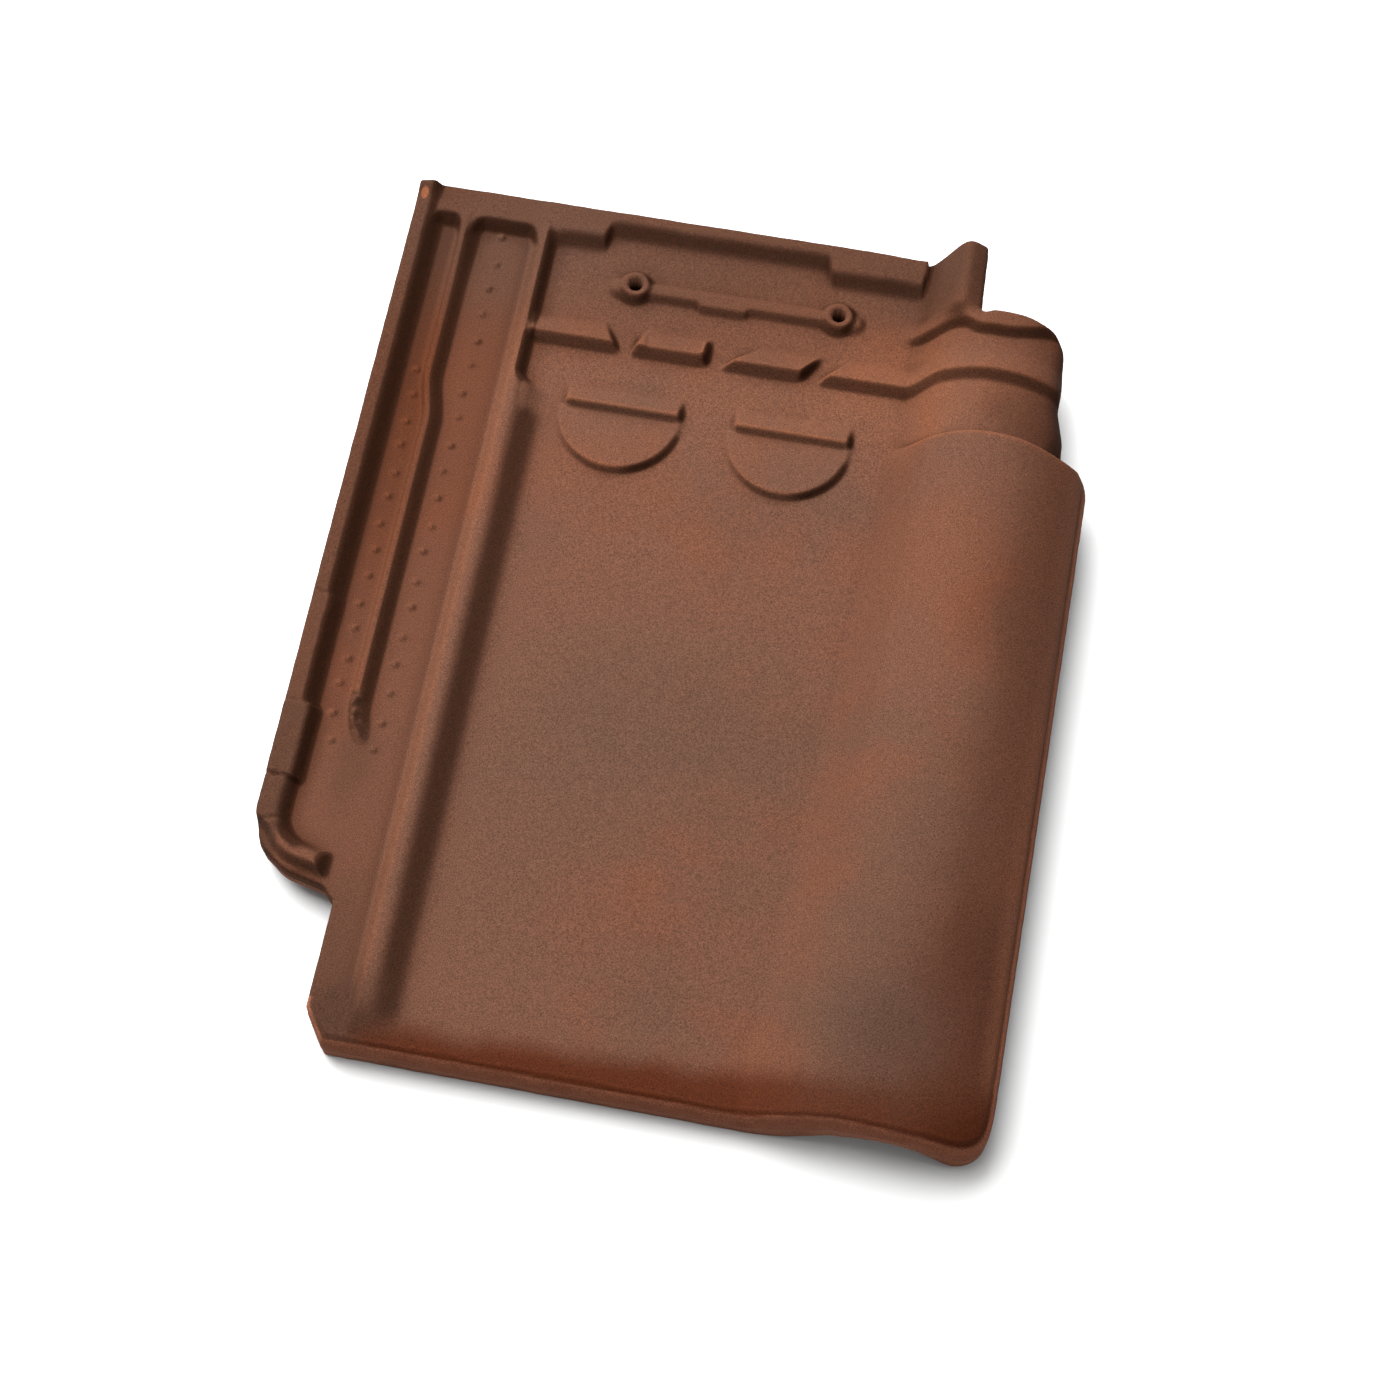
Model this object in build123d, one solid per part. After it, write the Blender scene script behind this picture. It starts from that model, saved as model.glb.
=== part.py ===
from build123d import *
from math import atan2, pi, tan
import os

# Clay interlocking roof tile: a flat pan, one side roll, two water channels and a head lock,
# pressed and fired in one piece.
# Frame: X to the covering side, Y up the slope to the head, Z up, origin under the middle.

# Overall form
tile_width = 290.0
tile_length = 370.0
pan_wall = 11.0
foot_drop = 8.0             # nibs and nose lip hang this far below the pan

# Roll along the covering side, lower and wider towards the nose
roll_rise_head = 31.0       # crest above the pan at the shoulder
roll_rise_nose = 14.0
roll_wall = 9.0
roll_crest_inset = 42.0     # crest to the covering edge
roll_width_head = 80.0      # foot to the covering edge, at the shoulder
roll_width_nose = 93.0
roll_edge_height = 5.0      # upright face of the covering edge
roll_edge_width = 8.0
roll_foot_wall_head = 7.0   # foot of the roll to the foot of its hollow
roll_foot_wall_nose = 14.0
roll_flank = (0.45, 0.70)   # shares of the run and the rise, from the foot to the crest
roll_fall = (0.70, 0.66)    # share of the run from the crest, share of the rise from the edge

# Nose
nose_drop = 3.0             # the last stretch bends down by this much
nose_run = 26.0
nose_edge_drop = 12.0       # the covering edge hangs this much further down at the nose
nose_round = 3.0            # rounding of the upper nose edge
nose_lip_depth = 12.0
nose_corner_radius = 18.0
nose_chamfer_width = 7.5
nose_chamfer_length = 14.0

# Neck that the tile above covers
shoulder_to_head = 90.0
shoulder_round = 3.0
shoulder_corner_radius = 6.0
neck_step = 9.0             # neck lies this far below the roll
neck_inset = 16.0           # neck edge inside the covering edge
neck_width = 62.0           # neck foot to neck edge
neck_corner_radius = 14.0
neck_rib_height = 3.0
neck_head_step = 2.5        # neck end and tab stand above the neck
neck_head_length = 37.0
tab_inset = 54.0            # tab side inside the covering edge
tab_length = 32.5

# Water channels on the covered side
channel_drop = 1.5          # channel floors below the pan
flange_width = 38.0         # side step at the nose end of the flange
flange_stop = 63.0          # flange end above the nose
flange_corner_radius = 22.0
flange_inner_radius = 7.0
edge_rib_height = 7.5       # above the channel floor
edge_rib_top = 7.5
edge_rib_foot = 11.6
edge_rib_return = 30.0      # edge rib runs this far along the flange end
edge_rib_round = 1.5
middle_rib_height = 5.0
middle_rib_top = 3.0
middle_rib_foot = 9.0
middle_rib_place = 23.0     # crest inside the covered edge, at the head
middle_rib_shift = 4.0      # crest moves inward below the bend
middle_rib_bend = 88.0      # bend centre below the head
middle_rib_bend_run = 22.0
middle_rib_stop = 244.0     # end below the head
middle_rib_run_out = 14.0
water_rib_place = 54.0      # near side of the water rib's top, inside the covered edge
water_rib_height = 5.0      # above the pan
water_rib_nose = 0.6        # height left at the nose
water_rib_top = 6.0
water_rib_head_top = 3.5    # narrower beside the head plate
water_rib_channel_run = 3.0
water_rib_pan_run = 8.0
water_rib_head_run = 2.5
rib_softness = 1.0          # tangent length of a rounded rib corner
foot_softness = 2.2

# Head lock
head_rim_height = 3.0       # above the pan
head_rim_width = 14.0
head_rim_middle = 8.0       # narrower part between the two steps
head_rim_left = 81.0        # narrow part starts inside the covered edge
head_rim_right = 172.5      # narrow part ends inside the covered edge
head_rim_draft = 30.0

# Nail holes and their rib
nail_hole_diameter = 6.0
nail_spacing = 84.0
nail_centre_x = -6.0
nail_to_head = 33.5
nail_boss_radius = 9.0
nail_boss_top = 6.5
nail_boss_height = 4.5
nail_boss_round = 0.8
nail_rib_width = 11.0
nail_rib_top = 5.0
nail_rib_height = 3.0

# Weather bar across the head of the pan, broken by slanted drains
bar_height = 3.5
bar_to_head = 64.5          # foot of the steep wall
bar_wall_run = 2.5
bar_ramp_run = 9.0
bar_crest_radius = 1.0
bar_gap = 6.0
bar_slant = 6.0
bar_segment_count = 4

# Two half moons below the weather bar
moon_radius = 25.0
moon_spacing = 68.4
moon_centre_x = -8.7
moon_to_head = 93.0
moon_straight = 2.0         # straight side above the circle's centre
moon_rise_straight = 0.8
moon_rise_arc = 2.8
moon_ramp_height = 3.5
moon_ramp_run = 10.0
moon_ramp_width = 45.0

# Underside
nib_width = 40.0
nib_length = 14.0
nib_toe = 4.0               # slope on the head side of the nib
nib_to_head = 8.0
lock_rib_place = 32.0       # hanging rib inside the covering edge
lock_rib_width = 5.0
lock_rib_clearance = 3.0    # over the channel floor of the next tile
lock_rib_margin = 40.0      # stops short of the nose

# Worked out from the sizes above
left = -tile_width / 2
right = tile_width / 2
nose = -tile_length / 2
head = tile_length / 2
pan_under = foot_drop
pan_top = pan_under + pan_wall
channel_top = pan_top - channel_drop
roll_crest = right - roll_crest_inset
shoulder = head - shoulder_to_head
neck_edge = right - neck_inset
neck_foot = neck_edge - neck_width
neck_rise = roll_rise_head - neck_step
tab_edge = right - tab_inset
clear_height = pan_top + roll_rise_head + pan_wall
overlap = 1.0

# A rounded edge as two chords: distance back from the face and depth, as shares of its radius
round_chords = ((0.0, 0.7), (0.4, 0.2), (1.0, 0.0))


def section_plane(y):
    return Plane(origin=(0, y, 0), x_dir=(1, 0, 0), z_dir=(0, -1, 0))


def side_plane(x):
    return Plane(origin=(x, 0, 0), x_dir=(0, 1, 0), z_dir=(1, 0, 0))


def corner_radius(before, corner, after, softness):
    """Radius whose tangent length at this corner is the given softness."""
    first = atan2(corner[1] - before[1], corner[0] - before[0])
    second = atan2(after[1] - corner[1], after[0] - corner[0])
    turn = abs((second - first + pi) % (2 * pi) - pi)
    return softness / tan(turn / 2)


def crest_place(foot, edge):
    return min(roll_crest, (foot + edge) / 2 + roll_wall / 4)


def arch(foot, edge, rise):
    """Outer form of the roll: foot on the pan, covering edge, crest and its rise."""
    return foot, edge, crest_place(foot, edge), rise


def hollow(foot, edge, rise, foot_wall=roll_foot_wall_head):
    """Inner form of the roll, one wall inside the arch with the same foot, edge and rise."""
    return foot + foot_wall, edge - roll_edge_width, crest_place(foot, edge), rise - roll_wall


def tile_section(y, outer, inner, rib, drop=0.0, ease=0.0):
    """Cross-section from the covered edge to the covering edge.

    The whole section is lowered by drop, its upper side alone by ease, and the covering
    edge hangs further down in step with the drop.
    """
    top = pan_top - drop - ease
    under = pan_under - drop
    channel = channel_top - drop - ease
    rib_height, rib_top, pan_run = rib
    rib_left = left + water_rib_place
    rib_right = rib_left + rib_top
    foot, edge, crest_x, rise = outer
    inner_foot, inner_edge, inner_x, inner_rise = inner
    edge_under = pan_top - drop - nose_edge_drop * drop / nose_drop
    edge_over = edge_under + roll_edge_height - ease
    flank = (foot + roll_flank[0] * (crest_x - foot), top + roll_flank[1] * rise)
    fall_rise = roll_fall[1] * (top + rise - edge_over)
    fall = (crest_x + roll_fall[0] * (edge - crest_x), edge_over + fall_rise)
    bank = [
        (left, channel),
        (rib_left - water_rib_channel_run, channel),
        (rib_left, top + rib_height),
        (rib_right, top + rib_height),
        (rib_right + pan_run, top),
        (foot, top),
    ]
    softness = [rib_softness, rib_softness, rib_softness, min(foot_softness, pan_run / 3)]
    radii = [
        corner_radius(bank[index], bank[index + 1], bank[index + 2], soft)
        for index, soft in enumerate(softness)
    ]
    with BuildSketch(section_plane(y)) as sketch:
        with BuildLine():
            Line((left, under), bank[0])
            FilletPolyline(*bank, radius=radii)
            Spline(
                (foot, top), flank, (crest_x, top + rise), fall, (edge, edge_over),
                tangents=[(1, 0), (0.3, -1)],
            )
            Polyline((edge, edge_over), (edge, edge_under), (inner_edge, edge_under))
            Spline(
                (inner_edge, edge_under),
                (inner_x, pan_top - drop + inner_rise),
                (inner_foot, under),
                tangents=[(-0.3, 1), (-0.35, -1)],
            )
            Line((inner_foot, under), (left, under))
        make_face()
    return sketch.sketch.face()


def pan_and_roll():
    """Pan with its water rib and roll; the roll wall closes in to the neck at the shoulder."""

    def share(y):
        return (y - nose) / (shoulder - nose)

    def roll_foot(y):
        return right - roll_width_nose + share(y) * (roll_width_nose - roll_width_head)

    def roll_rise(y):
        return roll_rise_nose + share(y) * (roll_rise_head - roll_rise_nose)

    def roll_section(y, drop=0.0, ease=0.0):
        fade = drop / nose_drop
        rib_height = water_rib_height + fade * (water_rib_nose - water_rib_height)
        outer = arch(roll_foot(y), right, roll_rise(y))
        foot_wall = roll_foot_wall_nose + share(y) * (roll_foot_wall_head - roll_foot_wall_nose)
        inner = hollow(roll_foot(y), right, roll_rise(y), foot_wall)
        return tile_section(y, outer, inner, (rib_height, water_rib_top, water_rib_pan_run), drop, ease)

    def shoulder_section(y, ease):
        outer = arch(roll_foot(y), right, roll_rise(y) - ease)
        inner = hollow(neck_foot, neck_edge, neck_rise)
        return tile_section(y, outer, inner, (water_rib_height, water_rib_top, water_rib_pan_run))

    sections = []
    for back, depth in round_chords:
        drop = nose_drop * (1 - back * nose_round / nose_run)
        sections.append(roll_section(nose + back * nose_round, drop, depth * nose_round))
    sections.append(roll_section(nose + nose_run))
    sections.append(roll_section(shoulder - 3 * roll_wall))
    for back, depth in reversed(round_chords):
        sections.append(shoulder_section(shoulder - back * shoulder_round, depth * shoulder_round))
    return loft(sections, ruled=True)


def neck():
    """Lower end of the roll and the flat head plate, with a cross rib and a raised end."""

    def section(y, lift):
        outer = arch(neck_foot, neck_edge, neck_rise + lift)
        inner = hollow(neck_foot, neck_edge, neck_rise)
        return tile_section(y, outer, inner, (water_rib_height, water_rib_head_top, water_rib_head_run))

    rib_wall = head - bar_to_head
    step = head - neck_head_length
    sections = [
        section(shoulder, 0),
        section(rib_wall, 0),
        section(rib_wall + bar_wall_run, neck_rib_height),
        section(rib_wall + bar_wall_run + bar_ramp_run, 0),
        section(step - neck_head_step, 0),
        section(step, neck_head_step),
        section(head, neck_head_step),
    ]
    return loft(sections, ruled=True)


def outline_prism():
    """Outline of the tile seen from above, with its notches and rounded corners."""
    step_x = left + flange_width
    flange_y = nose + flange_stop
    notch_y = head - tab_length
    with BuildSketch() as sketch:
        with BuildLine():
            Polyline(
                (left, head),
                (tab_edge, head),
                (tab_edge, notch_y),
                (neck_edge, notch_y),
                (neck_edge, shoulder),
                (right, shoulder),
                (right, nose),
                (step_x + nose_chamfer_width, nose),
                (step_x, nose + nose_chamfer_length),
                (step_x, flange_y),
                (left, flange_y),
                close=True,
            )
        make_face()
        for corner, radius in (
            ((right, nose), nose_corner_radius),
            ((right, shoulder), shoulder_corner_radius),
            ((left, flange_y), flange_corner_radius),
            ((step_x, flange_y), flange_inner_radius),
            ((neck_edge, notch_y), neck_corner_radius),
        ):
            fillet(sketch.vertices().sort_by_distance(corner)[0], radius)
    return extrude(Pos(0, 0, -overlap) * sketch.sketch, amount=clear_height)


def ridge(base_points, top_points, base_z, top_z):
    """Solid between two outlines with the same number of corners."""
    base = Pos(0, 0, base_z) * make_face(Polyline(*base_points, close=True))
    top = Pos(0, 0, top_z) * make_face(Polyline(*top_points, close=True))
    return loft([base.face(), top.face()], ruled=True)


def edge_rib():
    """Rib on the covered edge, turned round the flange corner."""
    spare = edge_rib_top
    flange_y = nose + flange_stop
    top_z = channel_top + edge_rib_height

    def band(width, z):
        inner_corner = (left + width, flange_y + width)
        with BuildSketch() as sketch:
            with BuildLine():
                Polyline(
                    (left - spare, head + spare),
                    (left - spare, flange_y - spare),
                    (left + edge_rib_return, flange_y - spare),
                    (left + edge_rib_return, flange_y + width),
                    inner_corner,
                    (left + width, head + spare),
                    close=True,
                )
            make_face()
            corner = sketch.vertices().sort_by_distance(inner_corner)[0]
            fillet(corner, flange_corner_radius - width)
        return (Pos(0, 0, z) * sketch.sketch).face()

    def inside_crest(edge):
        middle = edge.center()
        return middle.X > left and flange_y + overlap < middle.Y < head and middle.Z > channel_top

    rib = loft([band(edge_rib_foot, channel_top - overlap), band(edge_rib_top, top_z)], ruled=True)
    crest = rib.faces().sort_by(Axis.Z)[-1].edges().filter_by(inside_crest)
    return fillet(crest, edge_rib_round)


def middle_rib():
    """Rib between the two channels, with a slight bend and a run-out at its nose end."""
    crest = left + middle_rib_place
    shifted = crest + middle_rib_shift
    bend_start = head - middle_rib_bend + middle_rib_bend_run / 2
    bend_end = bend_start - middle_rib_bend_run
    stop = head - middle_rib_stop

    def band(half, end):
        return [
            (crest - half, head - overlap),
            (crest - half, bend_start),
            (shifted - half, bend_end),
            (shifted - half, end + half),
            (shifted, end),
            (shifted + half, end + half),
            (shifted + half, bend_end),
            (crest + half, bend_start),
            (crest + half, head - overlap),
        ]

    return ridge(
        band(middle_rib_foot / 2, stop - middle_rib_run_out),
        band(middle_rib_top / 2, stop),
        channel_top - overlap,
        channel_top + middle_rib_height,
    )


def head_rim():
    """Raised rim at the head that stops driven rain, stepped where the next nose is held."""
    inside = head - head_rim_width
    narrow = head - head_rim_middle
    outside = head + head_rim_width
    rim_end = neck_foot + roll_wall / 2
    with BuildSketch() as sketch:
        with BuildLine():
            Polyline(
                (left - head_rim_width, outside),
                (left - head_rim_width, inside),
                (left + head_rim_left, inside),
                (left + head_rim_left, narrow),
                (left + head_rim_right, narrow),
                (left + head_rim_right, inside),
                (rim_end, inside),
                (rim_end, outside),
                close=True,
            )
        make_face()
    base = Pos(0, 0, channel_top - overlap) * sketch.sketch
    height = pan_top + head_rim_height - channel_top + overlap
    return extrude(base, amount=height, taper=head_rim_draft)


def nail_places():
    half = nail_spacing / 2
    y = head - nail_to_head
    return [(nail_centre_x - half, y), (nail_centre_x + half, y)]


def nail_rib():
    """Bosses round the two nail holes and the bar between them."""
    (x1, y), (x2, _) = nail_places()
    foot = nail_rib_width / 2
    crest = nail_rib_top / 2
    rib = ridge(
        [(x1, y - foot), (x2, y - foot), (x2, y + foot), (x1, y + foot)],
        [(x1, y - crest), (x2, y - crest), (x2, y + crest), (x1, y + crest)],
        pan_top - overlap,
        pan_top + nail_rib_height,
    )
    boss_height = nail_boss_height + overlap
    for place in nail_places():
        boss = Pos(*place, pan_top - overlap + boss_height / 2) * Cone(
            nail_boss_radius, nail_boss_top, boss_height
        )
        rib += fillet(boss.edges().sort_by(Axis.Z)[-1], nail_boss_round)
    return rib


def nail_holes():
    return [
        Pos(*place, clear_height / 2) * Cylinder(nail_hole_diameter / 2, clear_height)
        for place in nail_places()
    ]


def weather_bar():
    """Bar with a gentle ramp to the head and a steep wall to the nose, in slanted lengths."""
    wall = head - bar_to_head
    ramp_end = wall + bar_wall_run + bar_ramp_run
    start = left + water_rib_place
    stop = neck_foot + roll_wall / 2
    crest = (wall + bar_wall_run, pan_top + bar_height)
    with BuildSketch(side_plane(start)) as profile:
        with BuildLine():
            Polyline(
                (wall, pan_top - overlap),
                (wall, pan_top),
                crest,
                (ramp_end, pan_top),
                (ramp_end, pan_top - overlap),
                close=True,
            )
        make_face()
        fillet(profile.vertices().sort_by_distance(crest)[0], bar_crest_radius)
    bar = extrude(profile.sketch, amount=stop - start)
    pitch = (stop - start) / bar_segment_count
    near = wall - overlap
    far = ramp_end + overlap
    for index in range(1, bar_segment_count):
        middle = start + index * pitch
        drain = Polyline(
            (middle - bar_gap / 2 + bar_slant / 2, near),
            (middle + bar_gap / 2 + bar_slant / 2, near),
            (middle + bar_gap / 2 - bar_slant / 2, far),
            (middle - bar_gap / 2 - bar_slant / 2, far),
            close=True,
        )
        bar -= extrude(Pos(0, 0, pan_top) * make_face(drain), amount=bar_height + overlap)
    return bar


def half_moon(centre_x):
    """Raised half disc with a sloping top, under a small ramp with a straight edge."""
    centre_y = head - moon_to_head
    straight = centre_y + moon_straight
    with BuildSketch(side_plane(centre_x - moon_radius)) as slope:
        with BuildLine():
            Polyline(
                (straight, pan_top - overlap),
                (straight, pan_top + moon_rise_straight),
                (centre_y - moon_radius, pan_top + moon_rise_arc),
                (centre_y - moon_radius, pan_top - overlap),
                close=True,
            )
        make_face()
    disc = extrude(slope.sketch, amount=2 * moon_radius)
    disc &= Pos(centre_x, centre_y, pan_top) * Cylinder(moon_radius, 2 * pan_wall)
    with BuildSketch(side_plane(centre_x - moon_ramp_width / 2)) as ramp_side:
        with BuildLine():
            Polyline(
                (straight - overlap, pan_top - overlap),
                (straight - overlap, pan_top + moon_rise_straight / 2),
                (straight + overlap, pan_top + moon_ramp_height),
                (straight + moon_ramp_run, pan_top),
                (straight + moon_ramp_run, pan_top - overlap),
                close=True,
            )
        make_face()
    ramp = extrude(ramp_side.sketch, amount=moon_ramp_width)
    return disc + ramp


def nose_lip():
    """Lip under the nose that lands on the pan of the tile below."""
    start = left + flange_width
    stop = right - roll_width_nose + roll_foot_wall_nose - overlap
    with BuildSketch(side_plane(start)) as profile:
        with BuildLine():
            Polyline(
                (nose, 0),
                (nose + nose_lip_depth, 0),
                (nose + nose_lip_depth + foot_drop / 2, pan_under + overlap),
                (nose, pan_under),
                close=True,
            )
        make_face()
    return extrude(profile.sketch, amount=stop - start)


def nib(x):
    """Hanging nib with a straight bearing face towards the nose."""
    face_y = head - nib_to_head - nib_length
    with BuildSketch(side_plane(x - nib_width / 2)) as profile:
        with BuildLine():
            Polyline(
                (face_y, pan_under + overlap),
                (face_y, 0),
                (face_y + nib_length - nib_toe, 0),
                (face_y + nib_length, pan_under + overlap),
                close=True,
            )
        make_face()
    return extrude(profile.sketch, amount=nib_width)


def lock_rib():
    """Rib under the roll that hangs into the outer channel of the next tile."""
    low = channel_top + lock_rib_clearance
    start = nose + lock_rib_margin
    wall_middle = pan_top - roll_wall / 2
    with BuildSketch(side_plane(right - lock_rib_place - lock_rib_width / 2)) as profile:
        with BuildLine():
            Polyline(
                (start, low),
                (start, wall_middle + roll_rise_nose),
                (shoulder, wall_middle + roll_rise_head),
                (shoulder, low),
                close=True,
            )
        make_face()
    return extrude(profile.sketch, amount=lock_rib_width)


def roof_tile():
    body = pan_and_roll() + neck()
    body += edge_rib()
    body += middle_rib()
    body += head_rim()
    body += nose_lip()
    body &= outline_prism()
    body += weather_bar()
    body += nail_rib()
    for side in (-1, 1):
        body += half_moon(moon_centre_x + side * moon_spacing / 2)
        body += nib(nail_centre_x + side * nail_spacing / 2)
    body += lock_rib()
    for hole in nail_holes():
        body -= hole
    return body


os.makedirs("parts", exist_ok=True)
export_step(roof_tile().solids()[0], "parts/roof_tile.step")
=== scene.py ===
import math
from types import SimpleNamespace

import bpy
import numpy as np
from mathutils import Matrix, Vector
from mathutils.geometry import delaunay_2d_cdt


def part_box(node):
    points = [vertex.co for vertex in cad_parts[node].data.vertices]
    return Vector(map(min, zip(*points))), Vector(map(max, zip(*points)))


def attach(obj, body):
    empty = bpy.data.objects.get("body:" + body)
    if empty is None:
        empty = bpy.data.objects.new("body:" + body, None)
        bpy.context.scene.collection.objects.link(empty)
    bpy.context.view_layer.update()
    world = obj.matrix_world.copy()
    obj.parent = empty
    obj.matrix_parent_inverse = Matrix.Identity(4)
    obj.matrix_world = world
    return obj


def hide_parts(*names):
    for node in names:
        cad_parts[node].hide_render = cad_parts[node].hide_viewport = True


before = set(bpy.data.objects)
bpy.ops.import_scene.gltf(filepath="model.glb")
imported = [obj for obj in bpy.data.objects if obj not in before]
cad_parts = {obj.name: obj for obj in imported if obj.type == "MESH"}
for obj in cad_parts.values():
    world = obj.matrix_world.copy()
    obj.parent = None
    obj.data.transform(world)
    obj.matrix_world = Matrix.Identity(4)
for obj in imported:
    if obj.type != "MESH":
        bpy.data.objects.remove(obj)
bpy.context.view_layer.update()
print("frame loaded")

mm = 0.001  # heights and places below are in millimetres, the scene is in metres
boxLow, boxHigh = (np.array(corner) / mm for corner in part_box("roof_tile"))
leftX, noseY = boxLow[:2]
rightX, headY = boxHigh[:2]


# soft number helpers, all of them work on whole grids
def unit(v):
    return np.clip(v, 0, 1)


def ease(t):
    t = unit(t)
    return t * t * (3 - 2 * t)


def rise(v, start, stop):
    # 0 before start, 1 after stop
    return ease((v - start) / (stop - start))


def fall(v, start, stop):
    # 1 before start, 0 after stop
    return rise(-v, -stop, -start)


def span(v, begin, end):
    # 1 between two soft ends
    return rise(v, *begin) * fall(v, *end)


def mix(a, b, share):
    return a + (b - a) * share


def softMax(a, b, soft):
    h = unit(0.5 + 0.5 * (a - b) / soft)
    return b + (a - b) * h + soft * h * (1 - h)


def softMin(a, b, soft):
    return -softMax(-a, -b, soft)


def ridge(u, feet, crest, height, soft):
    up = (u - feet[0]) / (crest[0] - feet[0]) * height
    down = (feet[1] - u) / (feet[1] - crest[1]) * height
    return softMax(softMin(softMin(up, down, soft), height, soft), 0, soft)


def groove(u, width):
    return np.exp(-((u / width) ** 2))


def hermite(t, ends, slopes):
    t2, t3 = t * t, t * t * t
    return (
        (2 * t3 - 3 * t2 + 1) * ends[0] + (t3 - 2 * t2 + t) * slopes[0]
        + (3 * t2 - 2 * t3) * ends[1] + (t3 - t2) * slopes[1]
    )


def grain(x, y, size, seed):
    # smooth value noise between -1 and 1 on cells of the given size
    u, v = x / size + 37.0 * seed, y / size - 19.0 * seed
    i, j = np.floor(u), np.floor(v)
    fu, fv = ease(u - i), ease(v - j)

    def cell(a, b):
        wave = np.sin(a * 127.1 + b * 311.7 + seed * 74.7) * 43758.5453
        return 2 * (wave - np.floor(wave)) - 1

    low = mix(cell(i, j), cell(i + 1, j), fu)
    high = mix(cell(i, j + 1), cell(i + 1, j + 1), fu)
    return mix(low, high, fv)


def rough(x, y, size, seed):
    # three layers of the noise, each finer and weaker than the one before
    middle = 0.5 * grain(x, y, size / 2.1, seed + 1)
    fine = 0.25 * grain(x, y, size / 4.3, seed + 2)
    return grain(x, y, size, seed) + middle + fine


def softTrace(x, places, values):
    # a line through given places, with its corners smoothed
    spread = (-1.8, -0.9, 0.0, 0.9, 1.8)
    return sum(np.interp(x + shift, places, values) for shift in spread) / len(spread)


# levels and places of the tile as a whole
tile = {
    "panTop": 19.0, "channelTop": 17.5, "underside": 8.0, "shoulderY": 95.0,
    "noseBend": -159.0, "noseDrop": 3.0, "noseEdgeDrop": 12.0,
    "edgeRound": 1.2, "noseRound": 3.6, "headRound": 0.8, "rimRound": 0.7,
    "wallFlash": 0.3, "unevenness": 0.06, "belowBox": 0.02,
    "panSide": (-92, -88), "ribSide": -98, "flangeSide": -100, "edgeSide": -105,
}
panTop, channelTop = tile["panTop"], tile["channelTop"]
shoulderY = tile["shoulderY"]


def noseFall(y):
    t = unit((tile["noseBend"] - y) / (tile["noseBend"] - noseY))
    return t * t


roll = {
    "headRise": 30.4, "noseRise": 14.0, "headFoot": 65.0, "noseFoot": 52.0, "crestInset": 42.0,
    "edgeHeight": 5.0, "wall": 9.0, "footCrease": 3.2, "crestPast": 2.0,
    # each half of the section has a knee: its place along the half, its height and the slopes beside it
    "climbKnee": (0.45, 0.68, 0.50, 0.61), "fallKnee": (0.7, 0.66, -0.78, -0.33), "edgeSlope": -1.25,
}


def archForm(x, foot, edge, riseHeight, edgeLevel):
    # rise above the pan of a roll: creased foot, round crest, steep covering edge
    crest = np.minimum(rightX - roll["crestInset"], (foot + edge) / 2 + roll["crestPast"])
    knee, level, before, after = roll["climbKnee"]
    u = unit((x - foot) / (crest - foot))
    first = hermite(unit(u / knee), (0, level), (roll["footCrease"] / riseHeight, before))
    second = hermite(unit((u - knee) / (1 - knee)), (level, 1), (after, 0))
    climb = riseHeight * np.where(u < knee, first, second)
    knee, level, before, after = roll["fallKnee"]
    v = unit((x - crest) / (edge - crest))
    near = hermite(unit(v / knee), (1, level), (0, before))
    far = hermite(unit((v - knee) / (1 - knee)), (level, 0), (after, roll["edgeSlope"]))
    drop = edgeLevel + (riseHeight - edgeLevel) * np.where(v < knee, near, far)
    return np.where(x < crest, climb, drop)


def rollShare(y):
    return unit((y - noseY) / (shoulderY - noseY))


def rollTop(x, y):
    share = rollShare(y)
    foot = mix(roll["noseFoot"], roll["headFoot"], share)
    edgeLevel = roll["edgeHeight"] - tile["noseEdgeDrop"] * noseFall(y)
    return archForm(x, foot, rightX, mix(roll["noseRise"], roll["headRise"], share), edgeLevel)


neck = {
    "foot": 67.0, "edge": 130.0, "rise": 21.0, "swell": 2.5, "swellY": 107, "swellWidth": 9,
    # foot of the raised end's wall over the neck
    "endRise": 3.6, "endRun": 3.4, "endSide": (61, 73),
    "endX": (60, 67, 75, 85, 88, 92, 105, 113, 121, 130),
    "endY": (144, 144.4, 145.6, 147.4, 146.8, 143.4, 143, 145, 148.3, 149),
    # the tab's section beside the notch
    "tabStart": (149, 157), "tabSide": (93, 98),
    "tabX": (64, 69, 72, 75, 78, 81, 83, 85, 88, 92.5),
    "tabZ": (0, 0.8, 5, 10, 15.5, 20.5, 22.9, 22.9, 21.2, 18.4),
}


def neckTop(x, y):
    edge = neck["edge"] + neck["swell"] * groove(y - neck["swellY"], neck["swellWidth"])
    arch = archForm(x, neck["foot"], edge, neck["rise"], roll["edgeHeight"])
    wallFoot = softTrace(x, neck["endX"], neck["endY"])
    raised = neck["endRise"] * rise(y, wallFoot, wallFoot + neck["endRun"]) * rise(x, *neck["endSide"])
    tab = softTrace(x, neck["tabX"], neck["tabZ"])
    inTab = rise(y, *neck["tabStart"]) * fall(x, *neck["tabSide"])
    return mix(arch + raised, tab, inTab)


# rib between the pan and the channels
water = {
    "left": -90.6, "right": -84.0, "foot": -77.4, "top": 24.0, "leftFoot": 4.4, "leftSlope": 1.25,
    "skirt": 1.9, "skirtReach": 7.0, "skirtStart": (-9, -3),
    "head": (96, 104), "headRight": -87.3, "headFoot": -84.4, "rimEnd": (168, 180), "rimDrop": 1.8,
    "noseEnd": (-184, -165), "noseDrop": 4.6,
}


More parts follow.
